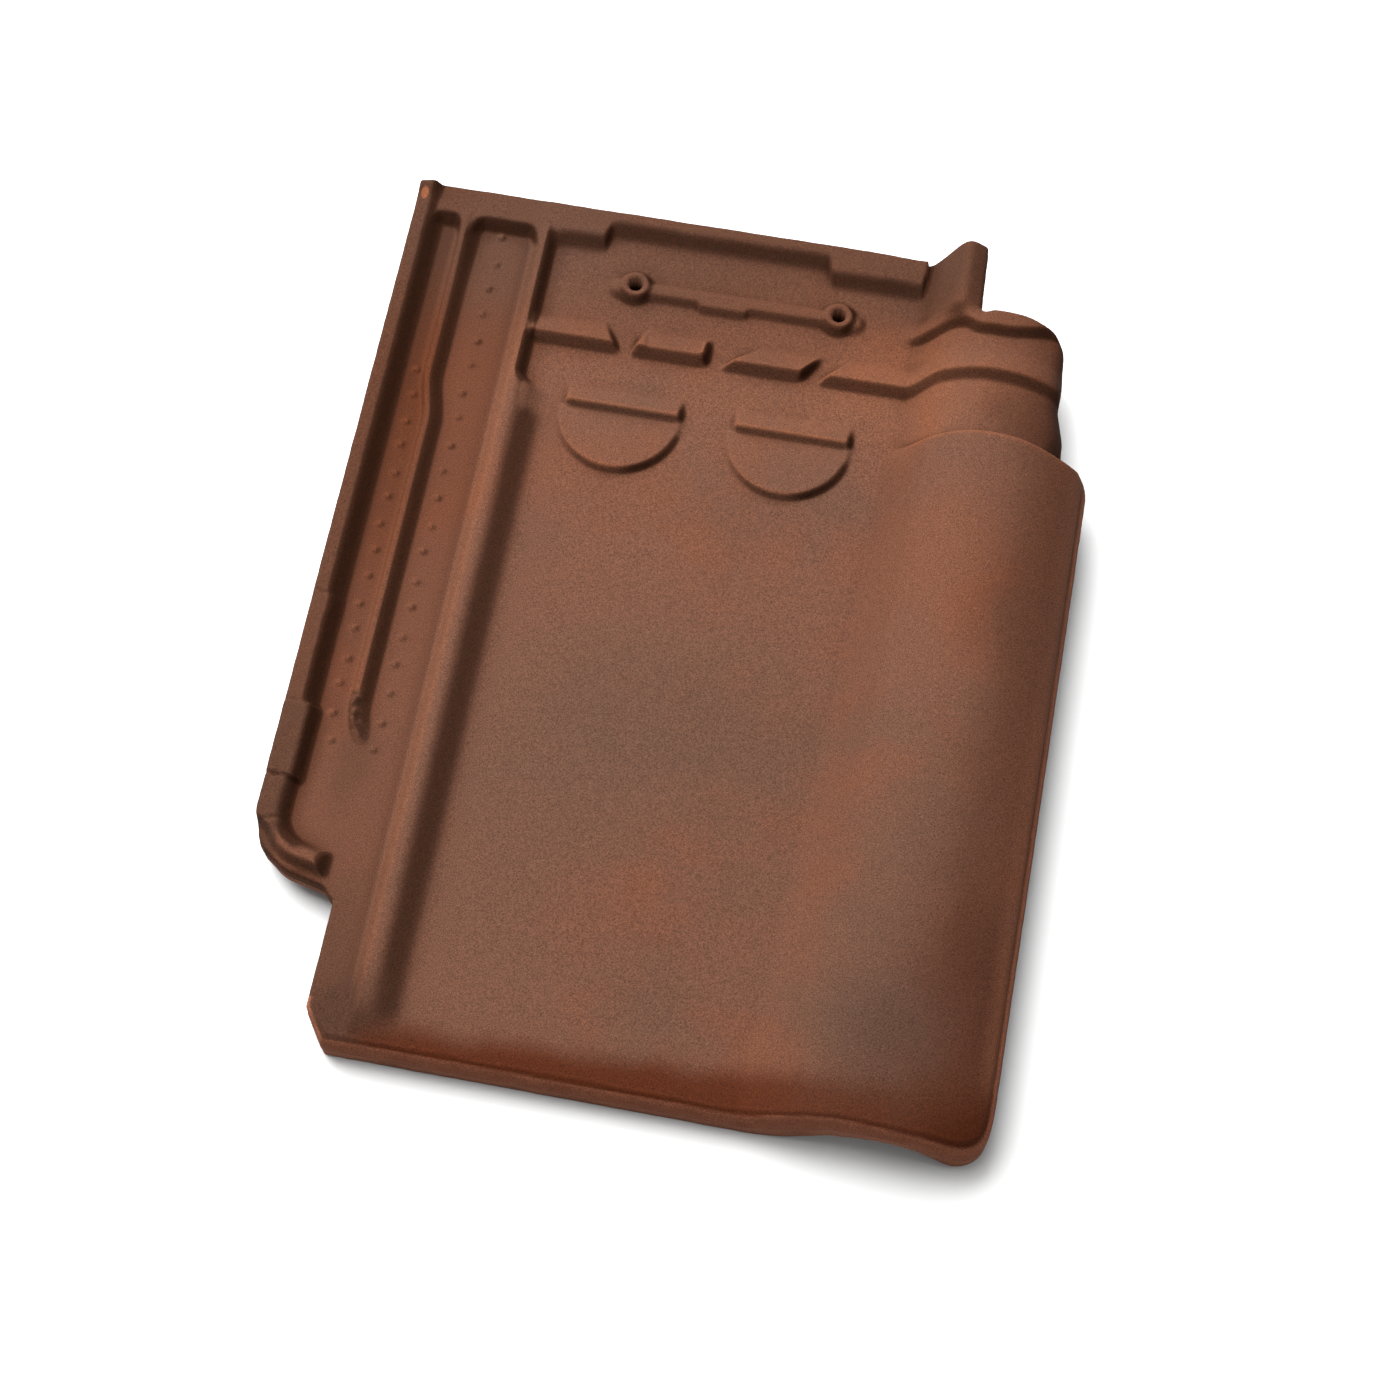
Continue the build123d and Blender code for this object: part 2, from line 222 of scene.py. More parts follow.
def waterRib(x, y):
    inHead = rise(y, *water["head"])
    atNose = fall(y, *water["noseEnd"])
    crestRight = mix(water["right"], water["headRight"], inHead)
    foot = mix(water["foot"], water["headFoot"], inHead)
    top = water["top"] - water["noseDrop"] * atNose - water["rimDrop"] * rise(y, *water["rimEnd"])
    up = channelTop + (x - water["left"] + water["leftFoot"]) * water["leftSlope"]
    skirt = water["skirt"] * (1 - inHead) * (1 - atNose)
    down = panTop + skirt + (foot - x) / (foot - crestRight) * (top - panTop - skirt)
    thinning = np.exp(-np.maximum(x - foot, 0) / water["skirtReach"])
    start, stop = water["skirtStart"]
    skirt = skirt * thinning * rise(x, foot + start, foot + stop)
    return softMax(softMin(softMin(up, down, 2.2), top, 2.0), panTop + skirt, 1.0)


# rib between the two channels, torn at its lower end
middle = {
    "headX": -122.0, "top": 22.5, "feet": (-4.0, 7.4), "crest": (-1.6, 1.2), "soft": 0.22,
    "bend": 4.0, "bendRun": (74, 98), "tailBend": 6.0, "tailBendRun": (-76, -50), "tail": (-77, -56),
    "headLift": 0.24, "headLiftRun": (140, 166), "rimDrop": 0.3, "rimEnd": (170, 180),
    "tornFrom": (-62, -59), "tornTo": (-47, -44), "knobWidth": 2.3, "knob": 0.8, "knobRough": 1.3,
}


def middleRibX(y):
    bend = middle["bend"] * fall(y, *middle["bendRun"])
    return middle["headX"] + bend + middle["tailBend"] * fall(y, *middle["tailBendRun"])


def middleRib(x, y):
    u = x - middleRibX(y)
    lift = 1 + middle["headLift"] * rise(y, *middle["headLiftRun"])
    tail = rise(y, *middle["tail"]) * lift * (1 - middle["rimDrop"] * rise(y, *middle["rimEnd"]))
    height = (middle["top"] - channelTop) * tail
    form = ridge(u, middle["feet"], middle["crest"], 1.0, middle["soft"]) * height
    torn = span(y, middle["tornFrom"], middle["tornTo"]) * groove(u, middle["knobWidth"])
    return form + torn * (middle["knob"] + middle["knobRough"] * rough(x, y, 2.4, seed=5))


# rib along the covered edge and round the flange corner
edge = {
    "crest": 7.0, "run": 6.6, "top": 25.0, "cornerRadius": 21.0, "endX": -127.0, "endY": -121.8,
    "endTilt": 0.2, "endScale": 0.98, "padX": -140, "headLift": 1.4, "headLiftRun": (176, 184),
    # lower lengths are pressed-on pads: low and high end of the step, tilt, change of crest, run and top
    "pads": (
        (-9.0, -7.5, 0.0, 1.0, -1.0, -0.25), (-55.5, -54.5, 0.0, 2.6, -1.2, 0.45),
        (-86.4, -85.4, 0.06, -1.9, 0.2, -0.6), (-105.2, -103.6, 0.4, -1.4, 4.6, -0.2),
    ),
    # cracks between the pads: y, tilt, depth
    "cracks": ((-8.2, 0.1, 0.5), (-55.0, 0.05, 0.6), (-86.0, 0.06, 1.0), (-104.6, -0.4, 0.9)),
    "crackWidth": 0.5, "tornFrom": (-112, -102), "tornTo": (-60, -50),
    "stopX": -112.4, "stopRun": 4.5, "stopBelow": -95,
    "chamferFoot": 14.8, "chamferSlope": 2.0, "chamferRun": (-109, -97), "padLip": 0.9,
}


def cornerDistance(x, y):
    # distance inside the covered edge and the flange end, with their round corner
    radius = edge["cornerRadius"]
    fromLeft = x - leftX
    fromEnd = (y - edge["endY"] + edge["endTilt"] * (x - edge["endX"])) * edge["endScale"]
    return radius - np.hypot(np.maximum(radius - fromLeft, 0), np.maximum(radius - fromEnd, 0))


def edgeRib(x, y):
    inside = cornerDistance(x, y)
    crest, run, top = edge["crest"], edge["run"], edge["top"]
    pads = []
    for low, high, tilt, crestChange, runChange, topChange in edge["pads"]:
        pad = fall(y + tilt * (x - edge["padX"]), low, high)
        crest = crest + crestChange * pad
        run = run + runChange * pad
        top = top + topChange * pad
        pads.append(pad)
    crest = crest + 0.35 * (0.5 * grain(x, y, 5.0, seed=11)) * pads[0]
    top = top + edge["headLift"] * rise(y, *edge["headLiftRun"]) + 0.10 * rough(x, y, 7.0, seed=12)
    for place, tilt, depth in edge["cracks"]:
        wander = 0.7 * grain(x, y, 3.0, seed=13)
        top = top - depth * groove(y - place - wander + tilt * (x - edge["padX"]), edge["crackWidth"])
    torn = span(y, edge["tornFrom"], edge["tornTo"])
    top = top + torn * 0.16 * rough(x, y, 3.2, seed=14)
    slope = channelTop + (crest + run - inside) / run * (top - channelTop)
    stop = channelTop + (edge["stopX"] - x) / edge["stopRun"] * (top - channelTop)
    form = softMin(softMin(slope, top, 1.2), np.where(y < edge["stopBelow"], stop, top + 5), 1.2)
    chamfer = edge["chamferFoot"] + edge["chamferSlope"] * inside + 0.5 * rough(x, y, 6.0, seed=15)
    form = softMin(form, mix(top + 9, chamfer, fall(y, *edge["chamferRun"])), 1.2)
    return form + edge["padLip"] * pads[1] * (1 - pads[2]) * groove(inside - crest - run - 1.0, 1.0)


head = {
    "rimTop": 23.4, "rimFoot": 164.4, "narrowFoot": 171.6, "run": 8.0, "narrow": (-63.5, 28.5),
    "narrowSoft": (1.2, 1.8), "cornerX": -79.5, "cornerRadius": 5.5, "cornerRise": 4.4,
    # closed ends of the two channels: left, right and head side, and corner radius
    "pockets": ((-137.0, -123.6, 171.6, 9.0), (-120.4, -90.8, 172.0, 13.0)),
    "pocketRun": 6.2, "pocketSides": 2.2, "pocketOpen": 18, "pocketOpenFrom": 6,
    "channelSide": (-91, -87), "rimStart": (146, 158), "rimEnd": (67, 71), "farAway": 60,
}


def headRim(x, y):
    rimTop, run = head["rimTop"], head["run"]
    start, stop = head["narrow"]
    soft, softer = head["narrowSoft"]
    narrow = rise(x, start - soft, start + soft) - rise(x, stop - soft, stop + softer)
    foot = mix(head["rimFoot"], head["narrowFoot"], narrow)
    plate = panTop + (y - foot) / run * (rimTop - panTop)
    # the rim's wall turns into the water rib with a round corner
    cornerX, bow = head["cornerX"], head["cornerRadius"]
    corner = np.hypot(np.minimum(x - cornerX, 0), np.maximum(y - foot + bow, 0))
    turned = np.maximum(plate, panTop + (corner - bow) / run * head["cornerRise"])
    plate = np.where(x < cornerX, turned, plate)
    pocket = np.full_like(x, head["farAway"])
    opening = head["pocketOpen"]
    for leftSide, rightSide, headSide, radius in head["pockets"]:
        across = np.abs(x - (leftSide + rightSide) / 2) - (rightSide - leftSide) / 2
        across = head["pocketSides"] * across + radius
        across = across - opening * rise(headSide - head["pocketOpenFrom"] - y, 0, opening)
        along = y - headSide + radius
        beyond = np.hypot(np.maximum(across, 0), np.maximum(along, 0)) - radius
        climb = rimTop + beyond / head["pocketRun"] * (rimTop - channelTop)
        pocket = np.minimum(pocket, climb)
    line = mix(pocket, plate, rise(x, *head["channelSide"]))
    outside = fall(y, *head["rimStart"]) + rise(x, *head["rimEnd"])
    line = line - head["farAway"] * outside
    return softMin(line, rimTop + 0.18 * rough(x, y, 14, seed=21), 0.8)


nails = {
    "places": ((-48.1, 151.4), (35.7, 151.5)), "hole": 3.0, "boss": 8.2, "bossTop": 5.5, "bossHeight": 4.4,
    "dish": 0.9, "dishRadius": 3.6, "lobeOut": 6.5, "lobeDown": 1.0, "lobe": 6.0, "lobeTop": 2.6,
    "lobeHeight": 2.6, "ribHeight": 3.0, "ribFeet": (-6.0, 5.0), "ribCrest": (-2.6, 1.2), "ribEnd": 2,
    "jog": 2.0, "jogStart": (-22.0, -20.5), "jogStop": (-2.2, -0.8),
}


def nailRib(x, y):
    jog = nails["jog"] * (rise(x, *nails["jogStart"]) - rise(x, *nails["jogStop"]))
    (firstX, nailY), (lastX, _) = nails["places"]
    feet, crest = ((low - jog, high) for low, high in (nails["ribFeet"], nails["ribCrest"]))
    rib = ridge(y - nailY, feet, crest, nails["ribHeight"], 0.8)
    soft = nails["ribEnd"]
    rib = rib * span(x, (firstX - soft, firstX + soft), (lastX - soft, lastX + soft))
    for side, (px, py) in zip((-1, 1), nails["places"]):
        radius = np.hypot(x - px, y - py)
        boss = ridge(radius, (-1, nails["boss"]), (0, nails["bossTop"]), nails["bossHeight"], 0.9)
        boss = boss - nails["dish"] * np.exp(-((radius / nails["dishRadius"]) ** 4))
        lobeRadius = np.hypot(x - px - side * nails["lobeOut"], y - py + nails["lobeDown"])
        lobe = ridge(lobeRadius, (-1, nails["lobe"]), (0, nails["lobeTop"]), nails["lobeHeight"], 0.9)
        rib = softMax(rib, softMax(boss, lobe, 0.8), 0.9)
    return rib


weather = {
    "feet": (119.6, 133.5), "crest": (123.2, 124.6), "height": 3.6, "overNeck": 2.8, "neckRun": (65, 80),
    # each length: x and slant of its left end, x and slant of its right end, at the wall's foot
    "lengths": (
        (-86.0, 0.0, -49.0, -0.55), (-44.5, 0.35, -13.8, 0.05),
        (-8.5, 1.2, 24.0, 0.65), (31.5, 0.9, 200.0, 0.0),
    ),
    "endSoft": 0.9,
    # raised ends of two lengths, and a flaked end
    "upturnX": -15.2, "upturn": 1.6, "upturnWidth": 1.5, "upturnFrom": (121, 123),
    "hookX": 26.5, "hookY": 125, "hookSlant": 0.65, "hook": 1.2, "hookWidth": 1.8, "hookFrom": (121, 124),
    "raisedTo": (129, 133),
    "flake": 0.7, "flakeX": ((-45, -43), (-38, -34)), "flakeY": ((120, 122), (127, 131)),
}


def weatherLengths(x, y):
    total = np.zeros_like(x)
    y = y - weather["overNeck"] * rise(x, *weather["neckRun"])
    across = y - weather["feet"][0]
    soft = weather["endSoft"]
    for leftEnd, leftSlant, rightEnd, rightSlant in weather["lengths"]:
        begin = leftEnd + leftSlant * across
        end = rightEnd + rightSlant * across
        total = total + rise(x - begin, -soft, soft) * rise(end - x, -soft, soft)
    bar = ridge(y, weather["feet"], weather["crest"], weather["height"], 0.7) * total
    upturn = weather["upturn"] * groove(x - weather["upturnX"], weather["upturnWidth"])
    upturn = upturn * span(y, weather["upturnFrom"], weather["raisedTo"])
    hookLine = x - weather["hookX"] - weather["hookSlant"] * (y - weather["hookY"])
    hook = weather["hook"] * groove(hookLine, weather["hookWidth"])
    hook = hook * span(y, weather["hookFrom"], weather["raisedTo"])
    flake = span(x, *weather["flakeX"]) * span(y, *weather["flakeY"])
    return bar + upturn + hook + flake * weather["flake"] * rough(x, y, 5.0, seed=31)


moons = {
    "centres": (-43.0, 25.4), "y": 91.3, "radius": 25.0, "straight": 93.2, "low": 0.7, "high": 2.7,
    "past": 0.6, "roundSoft": 1.7, "straightSoft": 1.2,
    # ramp along the straight side: height, feet and crest from the straight, and its two ends
    "ramp": 3.4, "rampFeet": (-0.8, 11), "rampCrest": (1.2, 1.9),
    "rampFrom": (-23.6, -21.6), "rampTo": (23.2, 25.2),
}


def halfMoons(x, y):
    total = np.zeros_like(x)
    straight, past = moons["straight"], moons["past"]
    ramp = ridge(y - straight, moons["rampFeet"], moons["rampCrest"], moons["ramp"], 0.6)
    for centre in moons["centres"]:
        radius = np.hypot(x - centre, y - moons["y"])
        slope = mix(moons["low"], moons["high"], unit((straight - y) / moons["radius"]))
        disc = slope * rise(moons["radius"] + past - radius, 0, moons["roundSoft"])
        disc = disc * rise(straight + past - y, 0, moons["straightSoft"])
        width = span(x - centre, moons["rampFrom"], moons["rampTo"])
        total = total + softMax(disc, ramp * width, 0.5)
    return total


# rows of dots: x, first and last y, pitch, and how far the row follows the middle rib
dotRows = {
    "outer": (-127.0, 98.2, -68.0, 11.8, 0.35), "inner": (-107.1, 165.1, -70.0, 12.3, 0.0),
    "rim": (-142.0, 127.0, 14.0, 11.3, 0.0),
}


def dots(x, y):
    total = np.zeros_like(x)
    for index, (dotX, first, last, pitch, follow) in enumerate(dotRows.values()):
        number = np.round((first - y) / pitch)
        number = np.clip(number, 0, math.floor((first - last) / pitch))
        dotY = first - number * pitch + 0.7 * np.sin(number * 2.7 + index)
        bend = (middleRibX(dotY) - middle["headX"] - 2.0) * follow
        radius = np.hypot(x - dotX - bend - 0.5 * np.sin(number * 1.9), (y - dotY) * 0.9)
        height = 0.75 + 0.15 * np.sin(number * 3.1 + index)
        total = total + height * rise(1.5 - radius, 0, 0.6)
    return total


# where the roll steps down to the neck, and the fine line along the covering edge
shoulder = {
    "step": (-1.4, 2.6), "sweep": 3.2, "sweepRun": (110, 141),
    "lineDepth": 0.35, "lineIn": 2.6, "lineWidth": 0.45, "lineEnd": (80, 92),
}


def topHeight(x, y):
    base = channelTop + (panTop - channelTop) * rise(x, *tile["panSide"])
    base = softMax(base, np.where(x < tile["ribSide"], -50, waterRib(x, y)), 1.8)
    plate = base + halfMoons(x, y)
    plate = softMax(plate, panTop + nailRib(x, y), 0.6)
    flange = np.where(x < tile["flangeSide"], 1.0, 0.0)
    plate = softMax(plate, channelTop + flange * middleRib(x, y), 0.9)
    plate = softMax(plate, headRim(x, y), 0.9) + flange * dots(x, y)
    plate = softMax(plate, np.where(x < tile["edgeSide"], edgeRib(x, y), -50), 1.6)
    fromShoulder = y - shoulderY + shoulder["sweep"] * rise(x, *shoulder["sweepRun"])
    arch = mix(rollTop(x, y), neckTop(x, y), rise(fromShoulder, *shoulder["step"]))
    surface = plate + arch + weatherLengths(x, y)
    warp = tile["unevenness"] * (rough(x, y, 34, seed=41) + 0.5 * rough(x, y, 11, seed=42))
    lineX = rightX - x - shoulder["lineIn"] - 0.3 * grain(x, y, 18, seed=43)
    rimLine = -shoulder["lineDepth"] * groove(lineX, shoulder["lineWidth"]) * fall(y, *shoulder["lineEnd"])
    surface = surface - tile["noseDrop"] * noseFall(y) + warp + rimLine
    return softMin(surface, boxHigh[2] - tile["belowBox"], 0.3)


under = {
    "hollowFrom": 55, "hollowInset": (14, 7), "hollowEdge": 8, "neckRun": (70, 92), "neckCrest": 100.0,
    "lipDepth": 12.0, "lipRun": (4, 4.5), "nibX": (-48.0, 36.0), "nibHalf": 20.0, "nibY": (163.0, 177.0),
    "nibFront": (-0.6, 1.2), "nibBack": 4, "sideSoft": 1,
    "lockX": 113.0, "lockHalf": 2.5, "lockLow": 20.5, "lockFrom": (-146, -142), "lockTo": (93, 97),
    # lower edge of the nose from the pan over the roll to the covering corner
    "noseX": (50, 62, 68, 74, 80, 86, 97, 105, 111, 118, 125, 130, 134, 145),
    "noseZ": (0, 0, 1.0, 3.4, 7, 10.5, 15, 17.2, 17.2, 15, 9.5, 4.5, 2, 2),
}


def hollowHeight(x, y):
    # underside of the roll, one wall below its top
    share = rollShare(y)
    neckShare = rise(y, *under["neckRun"])
    noseInset, headInset = under["hollowInset"]
    foot = mix(roll["noseFoot"] + noseInset, roll["headFoot"] + headInset, share)
    foot = mix(foot, neck["foot"] + headInset, neckShare)
    edgeX = mix(rightX, neck["edge"], neckShare) - under["hollowEdge"]
    crestX = mix(rightX - roll["crestInset"], under["neckCrest"], neckShare)
    archRise = mix(mix(roll["noseRise"], roll["headRise"], share), neck["rise"], neckShare)
    crest = panTop + archRise - roll["wall"]
    edgeZ = panTop - tile["noseEdgeDrop"] * noseFall(y)
    t = unit((x - foot) / (crestX - foot))
    s = unit((edgeX - x) / (edgeX - crestX))
    climb = mix(tile["underside"], crest, np.sqrt(unit(1 - (1 - t) ** 2)))
    descent = mix(edgeZ, crest, np.sqrt(unit(1 - (1 - s) ** 2)))
    return np.where(x < crestX, climb, descent)


def across(x, middleX, half):
    # 1 within a half width of the middle, with soft sides
    soft = under["sideSoft"]
    return span(x - middleX, (-half - soft, -half + soft), (half - soft, half + soft))


def bottomHeight(x, y):
    base = np.where(x > under["hollowFrom"], hollowHeight(x, y), tile["underside"])
    lock = across(x, under["lockX"], under["lockHalf"]) * span(y, under["lockFrom"], under["lockTo"])
    base = mix(base, np.minimum(base, under["lockLow"]), lock)
    base = base - tile["noseDrop"] * noseFall(y)
    behind, run = under["lipRun"]
    lip = rise(noseY + under["lipDepth"] + behind - y, 0, run)
    base = mix(base, np.minimum(base, softTrace(x, under["noseX"], under["noseZ"])), lip)
    front, back = under["nibY"]
    begin = [front + shift for shift in under["nibFront"]]
    along = span(y, begin, (back - under["nibBack"], back))
    for nibX in under["nibX"]:
        base = mix(base, 0, across(x, nibX, under["nibHalf"]) * along)
    return np.maximum(base + 0.05 * rough(x, y, 9, seed=51), 0)


# outline seen from above: corner places with the radius of each corner
outline = (
    (leftX, headY - 1.2, 1.6), (leftX + 5.5, headY - 0.1, 3), (leftX + 78, headY, 30),
    (-12.0, headY, 120), (44.0, headY - 0.2, 60), (70.5, headY - 1.2, 8), (79.0, headY, 5),
    (91.4, headY, 2.0), (92.6, 153.6, 4.0), (112.0, 153.4, 20.0), (127.8, 150.2, 8.0),
    (129.2, 132.0, 14.0), (129.0, 121.0, 8.0), (132.6, 109.0, 8.0),
    (133.4, shoulderY - 0.6, 2.0), (139.0, shoulderY - 2.4, 5.0), (rightX, shoulderY - 7.2, 6.0),
    (rightX, noseY, 17.5), (112.0, noseY, 20), (88.0, noseY + 1.2, 20), (60.0, noseY, 20),
    (leftX + 43.4, noseY + 1.2, 2.5), (leftX + 35.6, noseY + 13.0, 2.0), (leftX + 36.0, -130.5, 5.0),
    (leftX + 31.0, -125.2, 5.0), (leftX + 15.0, -121.6, 16.0), (leftX + 3.4, -113.0, 14.0),
    (leftX, -101.0, 16.0),
)


def roundedLoop(corners, step):
    points = np.array([corner[:2] for corner in corners])
    path = []
    count = len(points)
    for index in range(count):
        before, here, after = points[index - 1], points[index], points[(index + 1) % count]
        inward, outward = before - here, after - here
        inLength, outLength = np.linalg.norm(inward), np.linalg.norm(outward)
        inward, outward = inward / inLength, outward / outLength
        turn = math.acos(np.clip(inward @ outward, -1, 1))
        reach = min(corners[index][2] / math.tan(turn / 2), 0.48 * inLength, 0.48 * outLength)
        first, last = here + inward * reach, here + outward * reach
        for t in np.linspace(0, 1, 17):  # a quadratic corner, close to an arc
            path.append((1 - t) ** 2 * first + 2 * t * (1 - t) * here + t * t * last)
    path = np.array(path)
    closed = np.vstack([path, path[:1]])
    lengths = np.r_[0, np.cumsum(np.linalg.norm(np.diff(closed, axis=0), axis=1))]
    places = np.arange(0, lengths[-1], lengths[-1] / round(lengths[-1] / step))
    return np.column_stack([np.interp(places, lengths, closed[:, axis]) for axis in range(2)])


def outwardNormals(loop):
    along = np.roll(loop, -1, axis=0) - np.roll(loop, 1, axis=0)
    along = along / np.linalg.norm(along, axis=1, keepdims=True)
    return np.column_stack([-along[:, 1], along[:, 0]])  # the loop runs clockwise


def insideLoop(xs, ys, loop):
    # even-odd fill, row by row
    nextPoints = np.roll(loop, -1, axis=0)
    filled = np.zeros((len(ys), len(xs)), dtype=bool)
    for row, y in enumerate(ys + 1e-6):
        cuts = (loop[:, 1] > y) != (nextPoints[:, 1] > y)
        first, last = loop[cuts], nextPoints[cuts]
        leaning = (last[:, 0] - first[:, 0]) / (last[:, 1] - first[:, 1])
        places = np.sort(first[:, 0] + (y - first[:, 1]) * leaning)
        filled[row] = np.searchsorted(places, xs) % 2 == 1
    return filled


def loopDistance(xs, ys, loop, reach):
    # distance to the loop on the grid, up to the given reach
    step = xs[1] - xs[0]
    distance = np.full((len(ys), len(xs)), reach)
    fine = np.vstack([mix(loop, np.roll(loop, -1, axis=0), share) for share in (0, 0.25, 0.5, 0.75)])
    cells = int(reach / step) + 1
    column = np.round((fine[:, 0] - xs[0]) / step).astype(int)
    line = np.round((fine[:, 1] - ys[0]) / step).astype(int)
    for dj in range(-cells, cells + 1):
        for di in range(-cells, cells + 1):
            j, i = line + dj, column + di
            ok = (j >= 0) & (j < len(ys)) & (i >= 0) & (i < len(xs))
            far = np.hypot(xs[i[ok]] - fine[ok, 0], ys[j[ok]] - fine[ok, 1])
            np.minimum.at(distance, (j[ok], i[ok]), far)
    return distance


def boxBlur(grid, cells):
    for axis in (0, 1):
        margins = [(cells + 1, cells) if axis == side else (0, 0) for side in (0, 1)]
        total = np.cumsum(np.pad(grid, margins, mode="edge"), axis=axis)
        size = grid.shape[axis]
        upper = np.take(total, range(2 * cells + 1, 2 * cells + 1 + size), axis=axis)
        lower = np.take(total, range(0, size), axis=axis)
        grid = (upper - lower) / (2 * cells + 1)
    return grid


def roundOff(distance, radius):
    # how far a rounded edge lies below the surface at this distance from it
    near = np.clip(radius - distance, 0, radius)
    return radius - np.sqrt(np.clip(radius**2 - near**2, 0, None))


rim = {
    # narrow lower strip along the covering edge, and a wavy seam above the nose
    "stripDepth": 0.7, "stripWidth": 2.8, "stripSoft": 0.6, "stripSide": (118, 132), "stripEnd": (84, 86),
    "seamHeight": 0.25, "seamIn": 2.9, "seamWidth": 0.4, "seamFrom": (-176, -172),
    # where the rounding of the nose and the head begins, from the end
    "noseRun": (6, 12), "headRun": (12, 8),
    # worn edge: depth, size of the waves and seed
    "wear": ((0.07, 4.0, 61), (0.05, 1.6, 62)),
    # wall rings from the top down: level, share of the flash, bare clay
    "rings": ((0.62, 0.0, 0.0), (0.52, 1.0, 0.25), (0.42, 0.1, 0.9), (0.2, 0.0, 1.0)), "thinnest": 1.2,
}


def edgeLedge(x, y, distance):
    covering = rise(x, *rim["stripSide"]) * fall(y, *rim["stripEnd"])
    wavy = distance - rim["seamIn"] - 0.5 * grain(x, y, 14, seed=71)
    seam = groove(wavy, rim["seamWidth"]) * fall(y, *rim["seamFrom"])
    strip = rim["stripDepth"] * covering * rise(rim["stripWidth"] - distance, 0, rim["stripSoft"])
    return strip - rim["seamHeight"] * seam


def edgeRadius(x, y):
    near, far = rim["noseRun"]
    radius = mix(tile["edgeRound"], tile["noseRound"], fall(y, noseY + near, noseY + far))
    far, near = rim["headRun"]
    return mix(radius, tile["headRound"], rise(y, headY - far, headY - near))


mesh = {
    "step": 0.625, "rimStep": 0.9, "topTolerance": 0.055, "bottomTolerance": 0.16, "levels": 4,
    "holeSides": 28, "clear": 0.40, "holeClear": 0.35, "rimReach": 4.0,
}


def keepPoints(surface, tolerance, levels):
    # nodes of a nested grid that the surface's curvature asks for
    bend = np.zeros_like(surface)
    bend[:, 1:-1] = np.abs(surface[:, 2:] - 2 * surface[:, 1:-1] + surface[:, :-2])
    bend[1:-1] = np.maximum(bend[1:-1], np.abs(surface[2:] - 2 * surface[1:-1] + surface[:-2]))
    kept = np.zeros(surface.shape, dtype=bool)
    kept[:: 2**levels, :: 2**levels] = True
    for level in range(levels - 1, -1, -1):
        cells = 2**level
        spread = bend
        for axis in (0, 1):
            spread = np.maximum.reduce([np.roll(spread, shift, axis) for shift in range(-cells, cells + 1)])
        wanted = spread * (2 * cells) ** 2 / 8 > tolerance
        lattice = np.zeros_like(kept)
        lattice[::cells, ::cells] = True
        kept |= lattice & wanted
    return kept


def circle(place, radius):
    turns = np.linspace(0, 2 * math.pi, mesh["holeSides"], endpoint=False)
    return np.column_stack([place[0] + radius * np.cos(turns), place[1] + radius * np.sin(turns)])


def triangulate(points, loops):
    # loops are index ranges into points; their inside, without the holes, is filled
    edges = []
    for first, last in loops:
        edges += [(index, index + 1 if index + 1 < last else first) for index in range(first, last)]
    _, _, faces, sources, _, _ = delaunay_2d_cdt([tuple(p) for p in points], edges, [], 1, 1e-6)
    source = np.array([s[0] for s in sources])
    triangles = source[np.array(faces)]
    centres = points[triangles].mean(axis=1)
    solid = np.ones(len(triangles), dtype=bool)
    for place in nails["places"]:
        solid &= np.hypot(*(centres - np.array(place)).T) > nails["hole"] * 0.98
    triangles = triangles[solid]
    a, b, c = (points[triangles[:, k]] for k in range(3))
    area = (b[:, 0] - a[:, 0]) * (c[:, 1] - a[:, 1]) - (b[:, 1] - a[:, 1]) * (c[:, 0] - a[:, 0])
    triangles[area < 0] = triangles[area < 0][:, ::-1]
    return triangles


def strip(upper, lower, count):
    # triangles of a closed band between two rings of points
    here = np.arange(count)
    there = (here + 1) % count
    first = np.column_stack([upper + here, upper + there, lower + there])
    return [first, np.column_stack([upper + here, lower + there, lower + here])]


def wornRim():
    loop = roundedLoop(outline, mesh["rimStep"])
    normals = outwardNormals(loop)
    wear = sum(depth * (1 + grain(*loop.T, size, seed)) for depth, size, seed in rim["wear"])
    body = loop - normals * wear[:, None] - normals * tile["wallFlash"]
    return body, normals


def heightFields(body):
    step = mesh["step"]
    xs = np.arange(leftX, rightX + step / 2, step)
    ys = np.arange(noseY, headY + step / 2, step)
    x, y = np.meshgrid(xs, ys)
    distance = loopDistance(xs, ys, body, mesh["rimReach"])
    raw = topHeight(x, y)
    top = raw - roundOff(distance, edgeRadius(x, y)) - edgeLedge(x, y, distance)
    bottom = bottomHeight(x, y) + roundOff(distance, tile["rimRound"])
    inside = insideLoop(xs, ys, body)
    lowest, highest = (round(float(v), 2) for v in (bottom[inside].min(), top[inside].max()))
    print("height field", top.shape, "from", lowest, "to", highest)
    return SimpleNamespace(x=x, y=y, inside=inside, distance=distance, raw=raw, top=top, bottom=bottom)


def keptCells(field, surface, tolerance):
    kept = keepPoints(surface, tolerance, mesh["levels"]) & field.inside & (field.distance > mesh["clear"])
    for px, py in nails["places"]:
        kept &= np.hypot(field.x - px, field.y - py) > nails["hole"] + mesh["holeClear"]
    return np.nonzero(kept)


